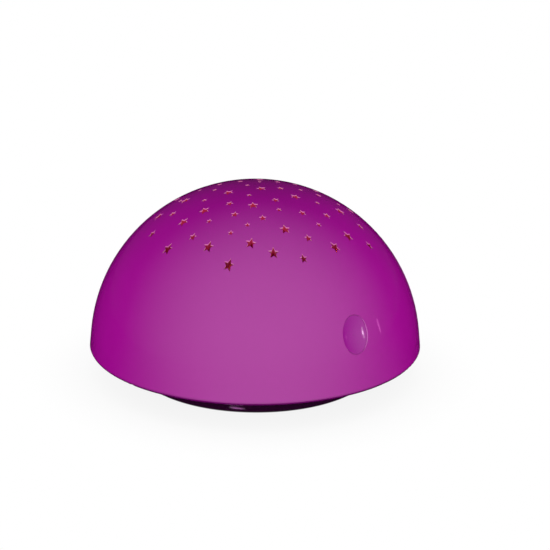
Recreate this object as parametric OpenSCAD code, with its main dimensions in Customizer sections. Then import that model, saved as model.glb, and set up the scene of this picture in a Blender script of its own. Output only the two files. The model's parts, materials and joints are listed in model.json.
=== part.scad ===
// Star night light projector: a domed battery lamp that throws stars on the ceiling.
// Origin at the middle of the surface it stands on, +Z up, button side towards -Y and +X.

/* [Dome] */
// Outer diameter of the dome
dome_d = 140; // [120:1:180]
// Wall thickness of the dome
dome_wall = 2; // [1.6:0.1:3]
// Height of the dome's rim above the surface it stands on
rim_z = 11.2; // [9:0.1:16]
// How far the dome's centre lies above its rim
centre_lift = 0.5; // [0.3:0.1:1]
// Height of the drafted skirt above the dome's centre
skirt_h = 7; // [5:0.5:9]
// Rounding of the rim's outer edge
rim_round = 1.8; // [0.6:0.1:1.9]

/* [Stars] */
// Tip radius of the large stars
star_large = 2.35; // [1.8:0.05:2.6]
// Tip radius of the medium stars
star_medium = 1.75; // [1.3:0.05:2]
// Tip radius of the small stars
star_small = 1.3; // [0.9:0.05:1.6]
// Notch radius of a star as a share of its tip radius
star_notch = 0.46; // [0.36:0.01:0.6]
// Most that a star turns away from the pole
star_turn = 12; // [0:1:36]

/* [Foot] */
// Outer diameter of the foot at its bottom
foot_d = 103.2; // [98:0.2:112]
// Wall thickness of the base
base_wall = 2; // [1.6:0.1:2.6]
// Height of the rubber pads below the foot
pad_proud = 0.8; // [0.4:0.1:1.4]
// Diameter of a rubber pad
pad_d = 9; // [6:0.5:10]
// Radius on which the pads sit
pad_ring = 44; // [42:0.2:45]
// Gap between the base and the dome all round
seat_gap = 0.3; // [0.2:0.05:0.6]

/* [Battery] */
// Diameter of one cell
cell_d = 14.5; // [10.5:0.1:14.5]
// Length of one cell with its button
cell_len = 50.5; // [44.5:0.5:50.5]
// Number of cells side by side
cell_count = 3; // [2:1:3]
// Distance between the cells' middles
cell_pitch = 15.2; // [14.8:0.1:15.6]
// Room at each end of the cells for the contacts
contact_room = 3.6; // [3:0.1:4]
// Thickness of the battery door
door_t = 1.9; // [1.5:0.1:2]
// How far the door's screw can be backed out
screw_travel = 5; // [3:0.5:6]

/* [Button] */
// Width of the oval button
button_w = 12.4; // [10:0.1:15]
// Height of the oval button
button_h = 15.6; // [14:0.1:17]
// Direction of the button, from the front towards the right
button_az = 37.5; // [20:0.5:60]
// Height angle of the button above the dome's centre
button_el = 19.6; // [18:0.2:26]
// Turn of the oval about its own axis
button_turn = -10; // [-20:1:20]
// Running gap between the button and its collar
button_gap = 0.1; // [0.1:0.05:0.5]
// Depth of the dish in the middle of the button
dish_depth = 1.9; // [1.2:0.1:2.4]
// Radius of the dish's curve
dish_curve = 19; // [16:1:40]
// Travel of the button
button_travel = 1.2; // [0.6:0.1:1.5]

/* [Electronics] */
// Radius of the light deck
deck_r = 42.5; // [40:0.5:43]
// Height of the light deck's top
deck_z = 33; // [32:0.2:35]
// Main board length and width
board_size = [48, 36]; // [30:1:52]
// Diameter of the LED board
led_board_d = 26; // [24:1:30]
// Diameter of one LED
led_d = 5; // [3:0.5:5]
// Diameter of the wires' insulation
wire_d = 1.3; // [1:0.1:1.6]

/* [Screws] */
// Diameter of the housing screws
screw_d = 3; // [2.5:0.1:3.2]
// Number of housing screws
screw_count = 3; // [3:1:3]
// Radius on which the housing screws sit
screw_ring = 61; // [60:0.2:61.6]

/* [Hidden] */
$fn = 96;

purple = [0.62, 0.04, 0.55];
plum = [0.14, 0.02, 0.13];
steel = [0.75, 0.76, 0.78];
brass = [0.8, 0.65, 0.3];
black = [0.06, 0.06, 0.07];
white = [0.93, 0.93, 0.9];
board_green = [0.05, 0.35, 0.18];
lens_red = [0.9, 0.1, 0.08];
lens_green = [0.15, 0.7, 0.25];
lens_blue = [0.15, 0.3, 0.85];
sleeve_red = [0.75, 0.1, 0.1];
sleeve_yellow = [0.85, 0.75, 0.2];
sleeve_black = [0.1, 0.1, 0.1];

fit = 0.3;          // gap between pieces that move past each other
touch = 0.1;        // gap between faces that rest on each other
merge = 0.5;        // overlap of shapes that grow together into one piece
past = 1;           // how far a cutting shape runs past what it cuts
screw_clear = 0.2;  // gap between a screw and a hole that it only passes through
bite = 0.15;        // depth that a screw's thread cuts into plastic
half_turn = 180;
full_turn = 360;

// Dome
dome_r = dome_d / 2;
dome_z = rim_z + centre_lift;
dome_in_r = dome_r - dome_wall;
skirt_top_r = sqrt(dome_r * dome_r - skirt_h * skirt_h);
skirt_slope = skirt_h / skirt_top_r;

// Stars: rings of [angle from the pole, number of places, first azimuth, share of a step that the
// azimuth wanders by, its seed, degrees that the angle wanders by, its seed, sizes in order]. A dash
// leaves its place bare.
star_rings = [
    [3.5, 3, 21, 0.25, 27309, 2.5, 2938, "LSS"],
    [9, 6, 59, 0.35, 22585, 2, 35786, "MMLMLS"],
    [15, 12, 1, 0.25, 42317, 2.5, 44546, "LMLSMLSMMS-M"],
    [22, 16, 1, 0.25, 5991, 3, 13110, "MSMSMLSMLMSSLSLM"],
    [28, 21, 14, 0.35, 16327, 3, 51902, "L-SMLSMLSMSLMSLSMLSSS"],
    [36.5, 10, 25, 0.25, 34459, 2.5, 31097, "MLLMLSMLML"],
    [38.5, 10, 2, 0.25, 48868, 2, 44941, "LLMMLMLSML"],
    [44, 10, 24, 0.35, 15083, 2.5, 52639, "MM-SMLM-LL"]
];
star_tips = 5;
bare = "-";
oval_steps = 10;    // straight steps along one side arc of the oval, and half those of an end arc
oval_end = 0.44;    // radius of the oval's end arcs as a share of its width
star_cut_z = dome_z + dome_in_r / 2;
star_cut_h = dome_r - dome_in_r / 2 + past;

// Foot and base
foot_r = foot_d / 2;
foot_bottom = pad_proud;
foot_draft = 0.5;
foot_round = 1.5;
pad_t = 1.6;
pad_count = 4;
pad_edge_h = 0.4;
pad_edge_w = 0.5;
flange_z = rim_z + 0.6;
flange_top = flange_z + base_wall;
flange_r = dome_in_r - seat_gap;
lip_t = 1.5;
lip_h = 2.4;
lip_top = flange_top + lip_h;
foot_in_r = foot_r - base_wall;
floor_top = foot_bottom + base_wall;

// Housing screws
boss_r = 3.3;
base_boss_r = 4.3;
base_boss_top = flange_top + 2.4;
dome_boss_bottom = base_boss_top + touch;
dome_boss_h = 12;
head_r = 2.8;
head_h = 2;
head_gap = 0.3;
head_seat = flange_z + head_h + 0.8;
screw_len = 10;
core_r = screw_d / 2;
screw_az = [for (i = [0 : screw_count - 1])
    button_az + half_turn / screw_count + i * full_turn / screw_count];
dome_rib_t = 1.4;

// Battery compartment and door
cell_r = cell_d / 2;
cell_room = 0.4;
side_room = 0.7;
cell_z = floor_top + cell_room + cell_r;
cells_half = (cell_count - 1) / 2 * cell_pitch + cell_r;
box_x = cell_len / 2 + contact_room;
box_wall = 1.6;
opening_y = cells_half + side_room;
tab_reach = 2.7;
tab_t = 1.4;
tab_w = 9;
tab_x = 16;
box_back = opening_y + tab_reach + side_room;
roof_z = cell_z + cell_r + cell_room;
roof_top = roof_z + box_wall;
ledge_top = floor_top + 1.5;
ledge_w = 2.4;
door_x = box_x + ledge_w;
door_y = opening_y + 3;
tongue_x = 7.5;
door_screw_y = opening_y + 6;
tongue_y = door_screw_y + 5;
door_corner = 3;
tab_z = floor_top + touch;
sleeve_r = 4;
sleeve_top = floor_top + 2.2;
insert_r = 2.3;
insert_len = 4;
insert_z = sleeve_top + touch;
insert_hole_r = core_r + 0.06;
door_boss_r = 5.6;
door_boss_top = insert_z + screw_travel + 3.4;
door_head_seat = foot_bottom + head_h + 0.6;
door_screw_tip = insert_z + 2.7;
spring_foot_r = 4.6;
spring_tip_r = 2.6;
spring_wire_r = 0.4;
spring_turns = 3.5;
plate_t = 0.5;
plate_size = 9;

// Posts, boards and deck
deck_t = 1.6;
deck_skirt = 2;
deck_rim_t = 1.5;
post_ring = 37.5;
post_r = 3.2;
post_count = 3;
post_top = deck_z - deck_t - touch;
small_screw_d = 2.5;
small_head_r = 2.3;
small_head_h = 1.5;
small_screw_len = 7;
small_pilot_d = small_screw_d - 2 * bite;
small_hole_d = small_screw_d + 2 * screw_clear;
board_t = 1.6;
board_z = roof_top + 3;
board_inset = 3.5;
standoff_r = 2.6;
led_boss_h = 2.5;
led_board_z = deck_z + led_boss_h;
led_board_top = led_board_z + board_t;
led_ring = 4.6;
led_count = 3;
led_az = 30;
led_flange_r = led_d / 2 + 0.4;
led_flange_h = 1;
led_barrel_h = 5.6;
led_screw_ring = led_board_d / 2 - 3.2;
led_boss_r = 2.4;
wire_hole_r = 3;
header_size = [6, 5.8, 3.2];
header_wall = 0.8;
header_floor = 1;
wire_slot_y = cells_half - cell_r + plate_size / 2 - 0.5;

// Button and switch, measured along the button's own axis from the dome's centre
collar_t = 1.3;
collar_end = dome_in_r - 6.5;
cap_flange_t = 1.2;
cap_flange_w = 1.5;
cap_flange_top = collar_end - touch;
cap_wall = 1.2;
cap_roof = 1.6;
cap_underside = dome_r - dish_depth - cap_roof;
stem_r = 2.2;
switch_board_top = dome_in_r - 16.4;
switch_board_size = [31, 12];
switch_size = [8.5, 8.5, 5.2];
switch_top = switch_board_top + switch_size[2];
plunger_r = 1.6;
plunger_gap = 0.05;
plunger_top = switch_top + 2.6;
plunger_bottom = switch_board_top + 1.6;
stem_end = plunger_top + touch;
switch_boss_r = 2.6;
switch_boss_x = 12.6;
coil_r = 3.1;
coil_wire_r = 0.3;
coil_turns = 5;

function frac_of_turn(i, n) = full_turn * i / n;

// A ring of copies round the Z axis
module around(count, radius, first = 0) {
    for (i = [0 : count - 1])
        rotate([0, 0, first + frac_of_turn(i, count)]) translate([radius, 0, 0]) children();
}

// Puts its children on the button's axis: +Z out through the dome, +Y up over it
module on_button_axis() {
    translate([0, 0, dome_z]) rotate([0, 0, button_az]) rotate([90 - button_el, 0, 0])
        rotate([0, 0, button_turn]) children();
}

// Oval of four arcs that meet smoothly: two long side arcs and two end arcs
module oval(w, h) {
    end_r = w * oval_end;
    end_y = h / 2 - end_r;
    side_shift = (end_y * end_y - pow(w / 2 - end_r, 2)) / (w - 2 * end_r);
    side_r = w / 2 + side_shift;
    split = atan2(end_y, side_shift);
    side_arc = [for (i = [0 : oval_steps]) let (a = split * (2 * i / oval_steps - 1))
        [side_r * cos(a) - side_shift, side_r * sin(a)]];
    end_arc = [for (i = [1 : 2 * oval_steps - 1])
        let (a = split + (half_turn - 2 * split) * i / oval_steps / 2)
        [end_r * cos(a), end_y + end_r * sin(a)]];
    polygon(concat(side_arc, end_arc, -side_arc, -end_arc));
}

// Rectangle with rounded corners, from its lowest to its highest corner
module rounded_plate(low, high, r) {
    size = high - low;
    translate([low[0] + r, low[1]]) square([size[0] - 2 * r, size[1]]);
    translate([low[0], low[1] + r]) square([size[0], size[1] - 2 * r]);
    for (x = [low[0] + r, high[0] - r], y = [low[1] + r, high[1] - r])
        translate([x, y]) circle(r = r);
}

// Pan head screw standing on its seat at the origin, head below and shank up
module pan_screw(d, len, head_radius, head_height) {
    crown_h = head_height * 0.45;
    crown_r = head_radius * 0.72;
    point_h = d * 0.4;
    slot_w = d * 0.25;
    slot_len = d * 1.1;
    slot_depth = head_height * 0.6;
    difference() {
        union() {
            translate([0, 0, crown_h - head_height]) cylinder(r = head_radius, h = head_height - crown_h);
            translate([0, 0, -head_height]) cylinder(r1 = crown_r, r2 = head_radius, h = crown_h);
            translate([0, 0, -head_height / 2]) cylinder(d = d, h = head_height / 2 + len - point_h);
            translate([0, 0, len - point_h]) cylinder(d1 = d, d2 = d / 2, h = point_h);
        }
        for (turn = [0, 90])
            rotate([0, 0, turn]) translate([-slot_len / 2, -slot_w / 2, -head_height - past])
                cube([slot_len, slot_w, past + slot_depth]);
    }
}

// Wire along a smooth curve through hand-laid points
function curve_point(p, i, t) =
    let (a = p[max(i - 1, 0)], b = p[i], c = p[i + 1], d = p[min(i + 2, len(p) - 1)])
    0.5 * ((2 * b) + (c - a) * t + (2 * a - 5 * b + 4 * c - d) * t * t
        + (3 * b - a - 3 * c + d) * t * t * t);
function curve(p, steps) = [
    for (i = [0 : len(p) - 2], s = [0 : steps - 1]) curve_point(p, i, s / steps), p[len(p) - 1]];
function unit(v) = v / norm(v);
function tube_points(path, r, sides) = [
    for (i = [0 : len(path) - 1])
        let (along = unit(path[min(i + 1, len(path) - 1)] - path[max(i - 1, 0)]),
            side = unit(cross(along, abs(along[2]) > 0.9 ? [1, 0, 0] : [0, 0, 1])),
            other = cross(along, side))
        for (k = [0 : sides - 1])
            path[i] + r * (cos(frac_of_turn(k, sides)) * side + sin(frac_of_turn(k, sides)) * other)];
function tube_faces(rings, sides) = concat(
    [[for (k = [sides - 1 : -1 : 0]) k]],
    [for (i = [0 : rings - 2], k = [0 : sides - 1])
        let (a = i * sides + k, b = i * sides + (k + 1) % sides) [a, b, b + sides, a + sides]],
    [[for (k = [0 : sides - 1]) (rings - 1) * sides + k]]);
module tube(path, r, sides) {
    polyhedron(points = tube_points(path, r, sides), faces = tube_faces(len(path), sides));
}
module wire(points, steps = 4) {
    tube(curve(points, steps), wire_d / 2, 8);
}

// Coil of round wire along +Z
module coil(r, wire_r, h, turns, top_r = undef) {
    end_r = is_undef(top_r) ? r : top_r;
    steps = 14;
    count = round(turns * steps);
    path = [for (i = [0 : count])
        let (a = frac_of_turn(i, steps), s = i / count, q = r + (end_r - r) * s)
        [q * cos(a), q * sin(a), wire_r + (h - 2 * wire_r) * s]];
    tube(path, wire_r, 6);
}

// Solid bounded by the dome's outer face
module dome_body() {
    difference() {
        union() {
            translate([0, 0, dome_z]) intersection() {
                sphere(r = dome_r);
                translate([-dome_r, -dome_r, skirt_h]) cube([dome_d, dome_d, dome_r]);
            }
            translate([0, 0, dome_z]) cylinder(r1 = skirt_top_r + skirt_h * skirt_slope,
                r2 = skirt_top_r, h = skirt_h);
            translate([0, 0, rim_z]) cylinder(r = skirt_top_r + skirt_h * skirt_slope, h = centre_lift);
        }
        rim_cutter();
    }
}

// Removes the rim's sharp outer corner
module rim_cutter() {
    edge_r = skirt_top_r + skirt_h * skirt_slope;
    rotate_extrude() difference() {
        translate([edge_r - rim_round, rim_z - past]) square([rim_round + past, rim_round + past]);
        translate([edge_r - rim_round, rim_z + rim_round]) circle(r = rim_round + 0.01);
    }
}

module dome_hollow() {
    translate([0, 0, dome_z]) intersection() {
        sphere(r = dome_in_r);
        translate([-dome_r, -dome_r, 0]) cube([dome_d, dome_d, dome_r]);
    }
    translate([0, 0, rim_z - past]) cylinder(r = dome_in_r, h = centre_lift + past);
}

// Five-pointed star with one tip towards the pole
module star(tip_r) {
    polygon([for (i = [0 : 2 * star_tips - 1])
        let (a = 90 + frac_of_turn(i, 2 * star_tips), r = i % 2 == 0 ? tip_r : tip_r * star_notch)
        [r * cos(a), r * sin(a)]]);
}

function star_size(letter) = letter == "L" ? star_large : letter == "M" ? star_medium : star_small;

// Cutters for all the stars. Each goes straight up, the way the mould opens, so a star low on the
// dome is longer down the slope than it is wide.
module star_cutters() {
    for (ring = star_rings) {
        count = ring[1];
        sizes = ring[7];
        drift = rands(-1, 1, count, ring[4]);
        sway = rands(-1, 1, count, ring[6]);
        for (k = [0 : count - 1]) if (sizes[k] != bare) {
            azimuth = ring[2] + full_turn / count * (k + ring[3] * drift[k]);
            from_pole = ring[0] + ring[5] * sway[k];
            rotate([0, 0, azimuth]) translate([0, -dome_r * sin(from_pole), star_cut_z])
                linear_extrude(height = star_cut_h)
                    rotate([0, 0, star_turn * sway[count - 1 - k]]) star(star_size(sizes[k]));
        }
    }
}

module dome_shell() {
    color(purple) difference() {
        union() {
            difference() {
                dome_body();
                dome_hollow();
                star_cutters();
            }
            intersection() {
                dome_fixings();
                translate([0, 0, dome_z]) sphere(r = dome_in_r + merge);
            }
        }
        on_button_axis() translate([0, 0, collar_end - past])
            linear_extrude(height = dome_r) oval(button_w + 2 * button_gap, button_h + 2 * button_gap);
        for (a = screw_az)
            rotate([0, 0, a - 90]) translate([screw_ring, 0, dome_boss_bottom - past])
                cylinder(r = core_r - bite, h = dome_boss_h);
        on_button_axis() for (side = [-1, 1])
            translate([side * switch_boss_x, 0, switch_board_top - past])
                cylinder(d = small_pilot_d, h = small_screw_len);
    }
}

// Screw bosses, their ribs and the button's guide collar on the dome's inner face
module dome_fixings() {
    for (a = screw_az) rotate([0, 0, a - 90]) {
        translate([screw_ring, 0, dome_boss_bottom]) cylinder(r = boss_r, h = dome_boss_h);
        translate([screw_ring, -dome_rib_t / 2, lip_top + fit])
            cube([dome_r - screw_ring, dome_rib_t, dome_boss_bottom + dome_boss_h - lip_top - fit]);
    }
    on_button_axis() {
        translate([0, 0, collar_end]) linear_extrude(height = dome_r - collar_end)
            oval(button_w + 2 * button_gap + 2 * collar_t, button_h + 2 * button_gap + 2 * collar_t);
        for (side = [-1, 1]) translate([side * switch_boss_x, 0, switch_board_top + touch])
            cylinder(r = switch_boss_r, h = dome_r - switch_board_top);
    }
}

module base_profile() {
    translate([0, foot_bottom]) difference() {
        polygon([[0, 0], [foot_r, 0], [foot_r + foot_draft, flange_top - foot_bottom],
            [0, flange_top - foot_bottom]]);
        difference() {
            translate([foot_r - foot_round, -past]) square([foot_round + past, foot_round + past]);
            translate([foot_r - foot_round, foot_round]) circle(r = foot_round);
        }
    }
    translate([foot_in_r, flange_z]) square([flange_r - foot_in_r, base_wall]);
    translate([flange_r - lip_t, flange_z]) square([lip_t, lip_top - flange_z]);
}

module base_shell() {
    color(plum) difference() {
        union() {
            difference() {
                rotate_extrude() base_profile();
                translate([0, 0, floor_top]) cylinder(r = foot_in_r, h = flange_top);
            }
            intersection() {
                compartment();
                cylinder(r = foot_in_r + merge, h = dome_r);
            }
            for (a = screw_az) rotate([0, 0, a - 90])
                translate([screw_ring, 0, flange_z])
                    cylinder(r = base_boss_r, h = base_boss_top - flange_z);
            around(post_count, post_ring, 90)
                translate([0, 0, foot_bottom + merge])
                    cylinder(r = post_r, h = post_top - foot_bottom - merge);
            translate([0, 0, roof_top - merge]) board_standoffs();
        }
        compartment_room();
        door_recess();
        for (a = screw_az) rotate([0, 0, a - 90]) translate([screw_ring, 0, flange_z - past]) {
            cylinder(r = core_r + screw_clear, h = base_boss_top);
            cylinder(r = head_r + head_gap, h = head_seat - flange_z + past);
        }
        around(pad_count, pad_ring) translate([0, 0, foot_bottom - past])
            cylinder(d = pad_d + 2 * touch, h = past + pad_t - pad_proud);
        around(post_count, post_ring, 90)
            translate([0, 0, post_top - small_screw_len]) cylinder(d = small_pilot_d, h = dome_r);
        board_holes(roof_top - merge) cylinder(d = small_pilot_d, h = dome_r);
        wire_slots();
    }
}

// Walls and roof of the battery compartment, the ledge round its door and the door screw's boss
module compartment() {
    translate([-box_x - box_wall, -box_back - box_wall, foot_bottom + merge])
        cube([2 * (box_x + box_wall), box_back + opening_y + 2 * box_wall, roof_top - foot_bottom - merge]);
    translate([0, 0, floor_top - merge]) linear_extrude(height = ledge_top - floor_top + merge)
        rounded_plate([-door_x - ledge_w, -box_back - ledge_w], [door_x + ledge_w, tongue_y + ledge_w],
            door_corner);
    translate([0, door_screw_y, foot_bottom + merge])
        cylinder(r = door_boss_r, h = door_boss_top - foot_bottom - merge);
}

// Everything that the cells, the tabs and the door screw take out of the base
module compartment_room() {
    translate([-box_x, -opening_y - fit, foot_bottom - past])
        cube([2 * box_x, 2 * opening_y + fit, roof_z - foot_bottom + past]);
    translate([-box_x, -box_back, ledge_top]) cube([2 * box_x, box_back, roof_z - ledge_top]);
    for (side = [-1, 1])
        translate([side * tab_x - tab_w / 2 - fit, -box_back, floor_top])
            cube([tab_w + 2 * fit, box_back, tab_t + fit + touch]);
    translate([0, door_screw_y, foot_bottom - past]) {
        cylinder(r = sleeve_r + fit, h = insert_z - foot_bottom + past);
        cylinder(r = insert_r, h = insert_z + insert_len - foot_bottom + past);
        cylinder(r = core_r + fit, h = door_boss_top - foot_bottom);
    }
}

module door_outline(grow) {
    rounded_plate([-door_x - grow, -opening_y - grow], [door_x + grow, door_y + grow], door_corner);
    rounded_plate([-tongue_x - grow, 0], [tongue_x + grow, tongue_y + grow], door_corner);
}

module door_recess() {
    translate([0, 0, foot_bottom - past])
        linear_extrude(height = past + base_wall) door_outline(fit);
}

module foot_pads() {
    color(black) around(pad_count, pad_ring) union() {
        translate([0, 0, pad_edge_h]) cylinder(d = pad_d, h = pad_t - pad_edge_h);
        cylinder(d1 = pad_d - 2 * pad_edge_w, d2 = pad_d, h = pad_edge_h);
    }
}

module housing_screws() {
    color(steel) for (a = screw_az) rotate([0, 0, a - 90])
        translate([screw_ring, 0, head_seat]) pan_screw(screw_d, screw_len, head_r, head_h);
}

module battery_door() {
    rib_w = 1.6;
    rib_h = 0.3;
    rib_inset = 4;
    tab_root = 2;
    color(plum) difference() {
        union() {
            translate([0, 0, foot_bottom]) linear_extrude(height = door_t) door_outline(0);
            for (side = [-1, 1]) translate([side * tab_x - tab_w / 2, 0, 0]) {
                translate([0, -opening_y - tab_reach, tab_z]) cube([tab_w, tab_reach + tab_root, tab_t]);
                translate([0, -opening_y, foot_bottom + merge])
                    cube([tab_w, tab_root, tab_z + tab_t - foot_bottom - merge]);
            }
            translate([0, door_screw_y, foot_bottom]) cylinder(r = sleeve_r, h = sleeve_top - foot_bottom);
            for (x = [-box_x / 2, 0, box_x / 2])
                translate([x - rib_w / 2, -opening_y + rib_inset, foot_bottom + merge])
                    cube([rib_w, 2 * (opening_y - rib_inset), door_t - merge + rib_h]);
        }
        translate([0, door_screw_y, foot_bottom - past]) {
            cylinder(r = core_r + screw_clear, h = sleeve_top + past);
            cylinder(r = head_r + head_gap, h = door_head_seat - foot_bottom + past);
        }
        grip_grooves();
    }
}

// Finger grip grooves across the outside of the door, near its screw
module grip_grooves() {
    groove_count = 5;
    groove_len = 16;
    groove_w = 1.2;
    groove_pitch = 2.4;
    groove_depth = 0.6;
    first_y = door_y - 9;
    for (i = [0 : groove_count - 1])
        translate([-groove_len / 2, first_y - groove_pitch * i, foot_bottom - past])
            cube([groove_len, groove_w, past + groove_depth]);
}

module door_screw() {
    color(steel) translate([0, door_screw_y, door_head_seat])
        pan_screw(screw_d, door_screw_tip - door_head_seat, head_r, head_h);
}

module screw_insert() {
    groove_z = 1.8;
    groove_w = 0.6;
    groove_depth = 0.3;
    color(brass) translate([0, door_screw_y, insert_z]) difference() {
        cylinder(r = insert_r, h = insert_len);
        translate([0, 0, -past]) cylinder(r = insert_hole_r, h = insert_len + 2 * past);
        translate([0, 0, groove_z]) rotate_extrude()
            translate([insert_r - groove_depth, 0]) square([past, groove_w]);
    }
}

function cell_y(i) = (i - (cell_count - 1) / 2) * cell_pitch;

module each_cell() {
    for (i = [0 : cell_count - 1])
        translate([0, cell_y(i), cell_z]) rotate([0, i % 2 == 0 ? 90 : -90, 0]) children();
}

// Cells lie along X and turn end for end, so that each one feeds the next
module battery_cells() {
    nub_r = 2.7;
    nub_h = 1.3;
    base_edge = 0.6;
    crimp = 0.8;
    body_len = cell_len - nub_h;
    color(steel) each_cell() translate([0, 0, -cell_len / 2]) rotate_extrude()
        polygon([[0, 0], [cell_r - base_edge, 0], [cell_r, base_edge], [cell_r, body_len - crimp],
            [cell_r - crimp, body_len], [nub_r, body_len], [nub_r, cell_len], [0, cell_len]]);
}

module battery_springs() {
    spring_h = contact_room - plate_t - 2 * touch;
    color(steel) each_cell() translate([0, 0, -cell_len / 2 - contact_room + plate_t + touch])
        coil(spring_foot_r, spring_wire_r, spring_h, spring_turns, spring_tip_r);
}

// Sheet metal contacts with a dimple at each cell's button: one at each free end of the row, and
// links that join each cell to the next
module battery_plates() {
    dimple_r = 3.4;
    dimple_tip_r = 2;
    dimple_h = contact_room - plate_t - touch;
    plate_x = box_x - plate_t - touch / 2;
    color(steel) for (i = [-1 : cell_count - 1]) {
        low = max(i, 0);
        high = min(i + 1, cell_count - 1);
        side = i % 2 == 0 ? -1 : 1;
        y = cell_y(low) - plate_size / 2;
        union() {
            translate([side > 0 ? plate_x : -plate_x - plate_t, y, cell_z - plate_size / 2])
                cube([plate_t, cell_y(high) - cell_y(low) + plate_size, plate_size]);
            for (n = [low : high]) if ((n % 2 == 0 ? 1 : -1) == side)
                translate([side * plate_x, cell_y(n), cell_z]) rotate([0, -90 * side, 0])
                    translate([0, 0, -merge])
                        cylinder(r1 = dimple_r, r2 = dimple_tip_r, h = dimple_h + merge);
        }
    }
}

module board_holes(z) {
    for (x = [-1, 1], y = [-1, 1])
        translate([x * (board_size[0] / 2 - board_inset), y * (board_size[1] / 2 - board_inset), z])
            children();
}

module board_standoffs() {
    board_holes(0) cylinder(r = standoff_r, h = board_z - roof_top + merge - touch);
}

// Openings in the compartment's roof for the battery leads, one beside each free contact
module wire_slots() {
    for (side = [-1, 1]) translate([side * (box_x - 2), -side * wire_slot_y, roof_z - past])
        cylinder(r = wire_hole_r / 2, h = box_wall + 2 * past);
}

module main_board() {
    color(board_green) difference() {
        translate([-board_size[0] / 2, -board_size[1] / 2, board_z])
            cube([board_size[0], board_size[1], board_t]);
        board_holes(board_z - past) cylinder(d = small_hole_d, h = board_t + 2 * past);
    }
}

module board_screws() {
    color(steel) board_holes(board_z + board_t + touch) mirror([0, 0, 1])
        pan_screw(small_screw_d, board_z - roof_top + board_t - touch, small_head_r, small_head_h);
}

// Chip on its two rows of gull-wing leads
module control_chip() {
    chip = [9.9, 3.9, 1.5];
    stand_off = 0.15;
    lead_count = 8;
    lead_pitch = 1.27;
    lead_size = [0.4, 1.1, 0.5];
    lead_in = 0.2;
    color(black) translate([-10, 2, board_z + board_t + touch]) union() {
        translate([-chip[0] / 2, -chip[1] / 2, stand_off]) cube(chip);
        for (i = [0 : lead_count - 1], turn = [0, half_turn]) rotate([0, 0, turn])
            translate([(i - (lead_count - 1) / 2) * lead_pitch, chip[1] / 2 - lead_in, 0])
                translate([-lead_size[0] / 2, 0, 0]) cube(lead_size);
    }
}

module capacitor() {
    can_r = 2.5;
    can_h = 4;
    bead_r = can_r + 0.15;
    bead_z = 0.5;
    bead_h = 0.6;
    color(black) translate([3, 9, board_z + board_t + touch]) union() {
        cylinder(r = can_r, h = can_h);
        translate([0, 0, bead_z]) cylinder(r = bead_r, h = bead_h);
    }
}

header_places = [[17, -4], [6, -8], [0, 2]];
module wire_headers() {
    room = [header_size[0] - 2 * header_wall, header_size[1] - 2 * header_wall, header_size[2]];
    color(white) for (p = header_places)
        translate([p[0] - header_size[0] / 2, p[1] - header_size[1] / 2, board_z + board_t + touch])
            difference() {
                cube(header_size);
                translate([header_wall, header_wall, header_floor]) cube(room);
            }
}

// Round white deck with a rim above and below, and two bosses for the LED board
module light_deck() {
    rim_h = 1.6;
    rim_bottom = deck_z - deck_t - deck_skirt;
    color(white) difference() {
        union() {
            translate([0, 0, deck_z - deck_t]) cylinder(r = deck_r, h = deck_t);
            translate([0, 0, rim_bottom]) difference() {
                cylinder(r = deck_r, h = deck_skirt + deck_t + rim_h);
                translate([0, 0, -past]) cylinder(r = deck_r - deck_rim_t, h = deck_skirt + past + merge);
                translate([0, 0, deck_skirt + deck_t - merge])
                    cylinder(r = deck_r - deck_rim_t, h = rim_h + past + merge);
            }
            around(2, led_screw_ring) translate([0, 0, deck_z - merge])
                cylinder(r = led_boss_r, h = led_boss_h + merge - touch);
        }
        translate([0, 0, deck_z - deck_t - past]) {
            around(post_count, post_ring, 90) cylinder(d = small_hole_d, h = deck_t + 2 * past);
            around(2, led_screw_ring) cylinder(d = small_pilot_d, h = deck_t + led_boss_h + 2 * past);
            cylinder(r = wire_hole_r, h = deck_t + 2 * past);
        }
    }
}

module deck_screws() {
    color(steel) around(post_count, post_ring, 90) translate([0, 0, deck_z + touch]) mirror([0, 0, 1])
        pan_screw(small_screw_d, small_screw_len, small_head_r, small_head_h);
}

module led_board() {
    color(white) translate([0, 0, led_board_z]) difference() {
        cylinder(d = led_board_d, h = board_t);
        around(2, led_screw_ring) translate([0, 0, -past])
            cylinder(d = small_hole_d, h = board_t + 2 * past);
    }
}

module led_board_screws() {
    color(steel) around(2, led_screw_ring) translate([0, 0, led_board_top + touch]) mirror([0, 0, 1])
        pan_screw(small_screw_d, board_t + led_boss_h, small_head_r, small_head_h);
}

// Round LED with its flange, barrel and domed lens, number i of three
module led(i) {
    barrel_r = led_d / 2;
    azimuth = led_az + frac_of_turn(i, led_count);
    rotate([0, 0, azimuth]) translate([led_ring, 0, led_board_top + touch]) union() {
        cylinder(r = led_flange_r, h = led_flange_h);
        cylinder(r = barrel_r, h = led_barrel_h);
        intersection() {
            translate([0, 0, led_barrel_h]) sphere(r = barrel_r);
            translate([-barrel_r, -barrel_r, led_barrel_h]) cube([led_d, led_d, barrel_r + past]);
        }
    }
}
module red_led() {
    color(lens_red) led(0);
}
module green_led() {
    color(lens_green) led(1);
}
module blue_led() {
    color(lens_blue) led(2);
}

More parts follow.
